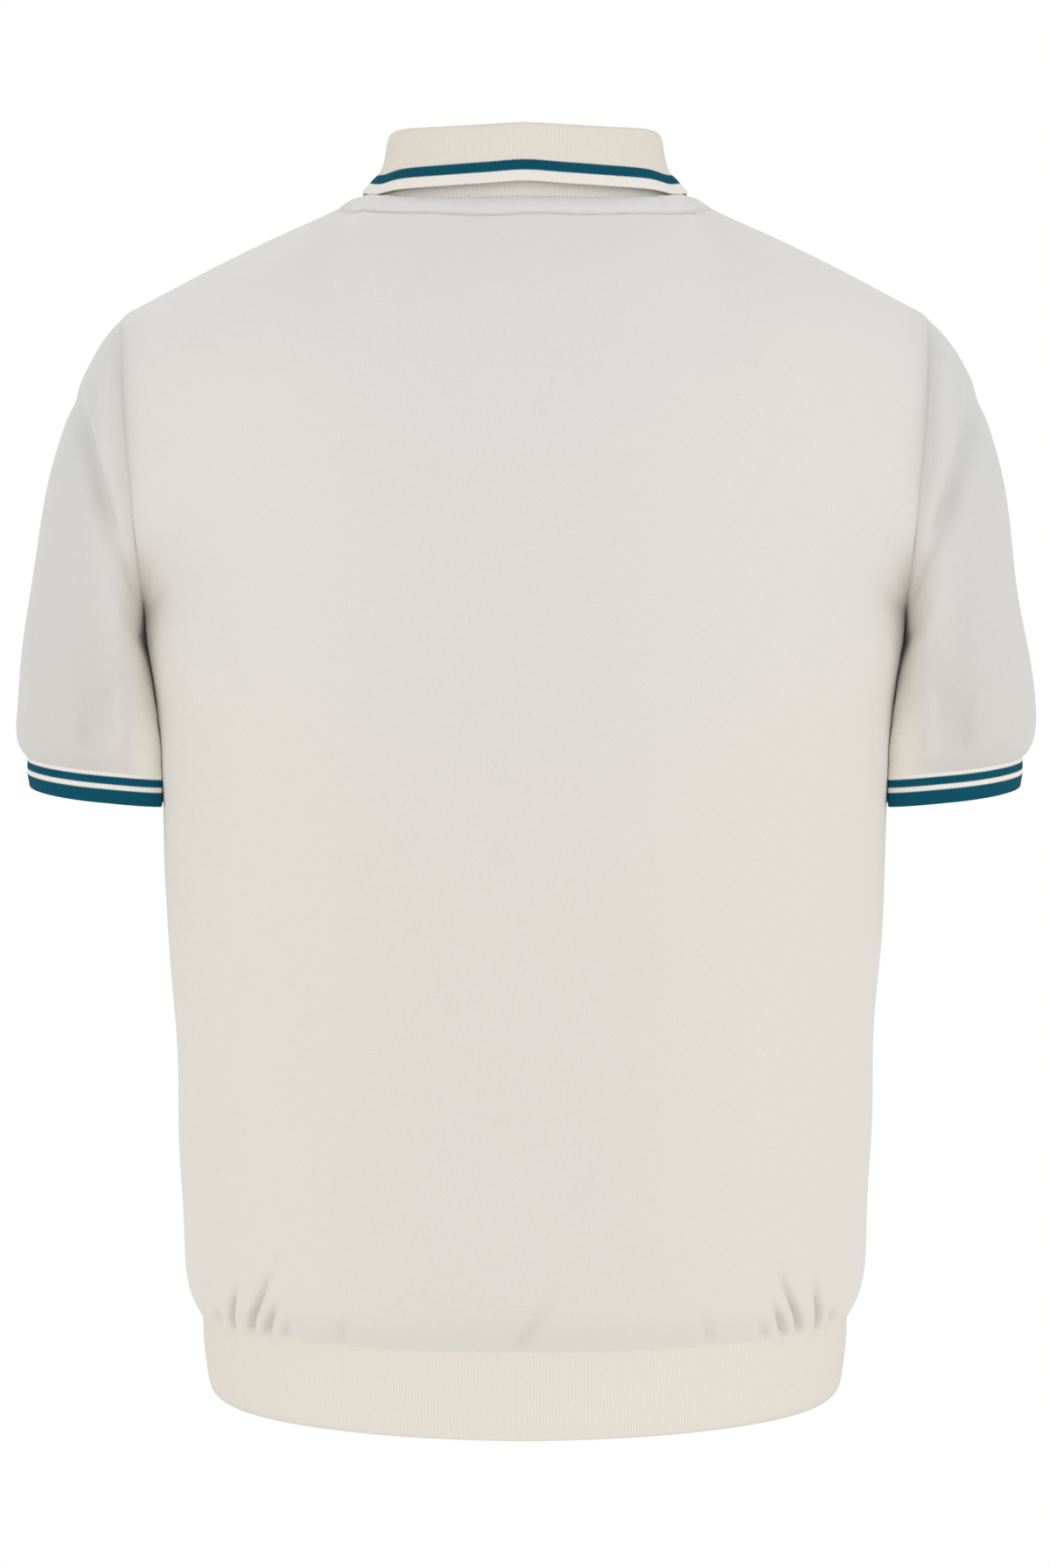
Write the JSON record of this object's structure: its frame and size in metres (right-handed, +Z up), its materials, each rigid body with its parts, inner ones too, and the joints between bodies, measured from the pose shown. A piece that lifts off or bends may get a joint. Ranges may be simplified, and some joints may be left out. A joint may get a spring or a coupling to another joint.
{
  "type": "polo shirt",
  "caption": "Short-sleeved velour polo shirt with a folded rib collar, buttoned front placket, tipped rib cuffs and a gathered rib waistband, in its worn, hollow form.",
  "frame": {"origin": "middle of the neck opening, level with the points where the shoulder seams meet the neck", "axes": "+Z up, the garment's front faces -Y, the wearer's left is +X"},
  "size_m": [0.581, 0.2916, 0.7096],
  "materials": {
    "velour": "off-white velour: a short soft nap with a slightly brighter edge where it turns away",
    "rib": "ivory fine rib knit, with teal tipping stripes on the collar and the cuffs",
    "button": "ivory plastic with a soft gloss"
  },
  "bodies": {
    "root": {"back_panel": "velour", "front_panel": "velour", "sleeve_left": "velour", "sleeve_right": "velour", "placket_upper": "velour", "placket_under": "velour", "cuff_left": "rib", "cuff_right": "rib", "waistband": "rib", "collar": "rib", "button_1": "button", "button_2": "button", "button_3": "button"}
  },
  "joints": []
}
